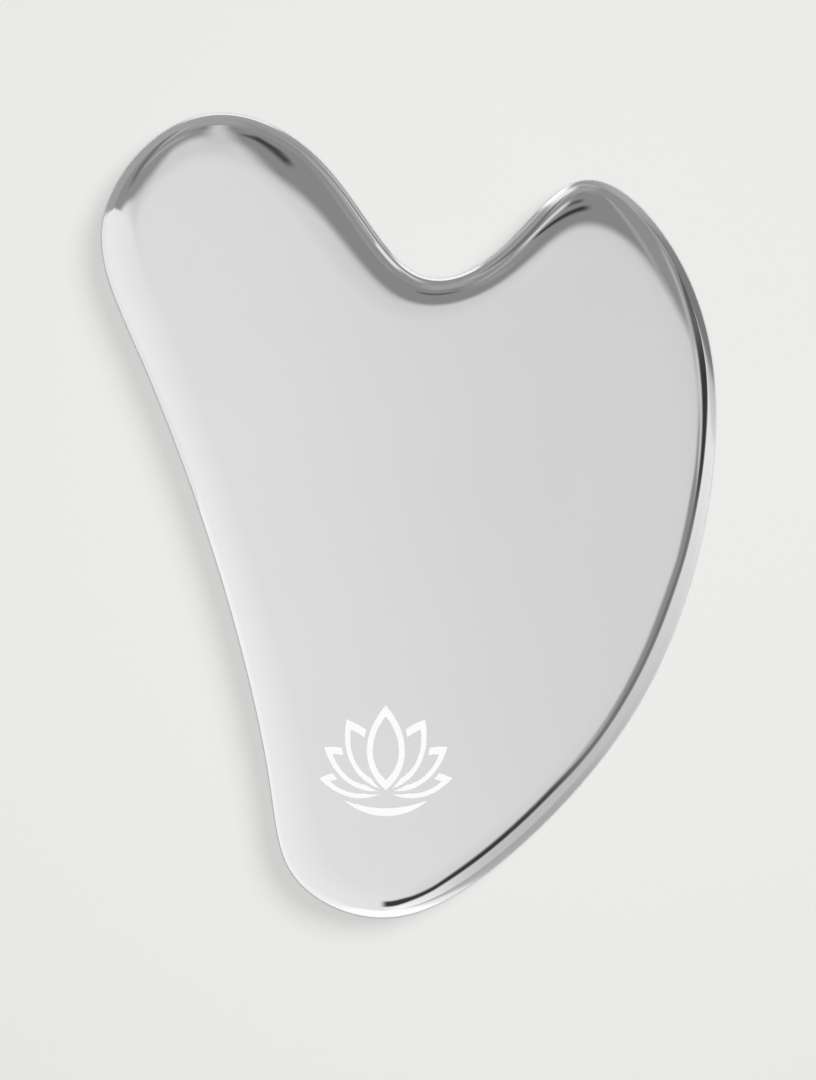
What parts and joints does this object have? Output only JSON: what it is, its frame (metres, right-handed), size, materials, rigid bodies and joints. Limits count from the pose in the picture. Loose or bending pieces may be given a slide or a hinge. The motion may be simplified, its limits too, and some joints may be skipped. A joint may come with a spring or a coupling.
{
  "type": "gua sha scraper",
  "caption": "Flat heart-shaped facial scraping plate in polished steel, with pillow-rounded edges, a curved notch between two lobes, a bowed edge, a hollow flank and a small printed lotus.",
  "frame": {"origin": "on the back face, below the middle of the outline's box", "axes": "+Z out of the printed front face, +Y along the length towards the crown, the larger lobe, +X towards the long bowed edge"},
  "size_m": [0.065, 0.0852, 0.0061],
  "materials": {
    "polished_steel": "mirror-polished stainless steel, with a few hairline wipe marks",
    "white_ink": "thin opaque white pad-printed ink, satin"
  },
  "bodies": {
    "root": {"scraper_body": "polished_steel", "print_petal_centre": "white_ink", "print_petal_inner_left": "white_ink", "print_petal_middle_left": "white_ink", "print_petal_outer_left": "white_ink", "print_petal_inner_right": "white_ink", "print_petal_middle_right": "white_ink", "print_petal_outer_right": "white_ink", "print_crescent": "white_ink"}
  },
  "joints": []
}
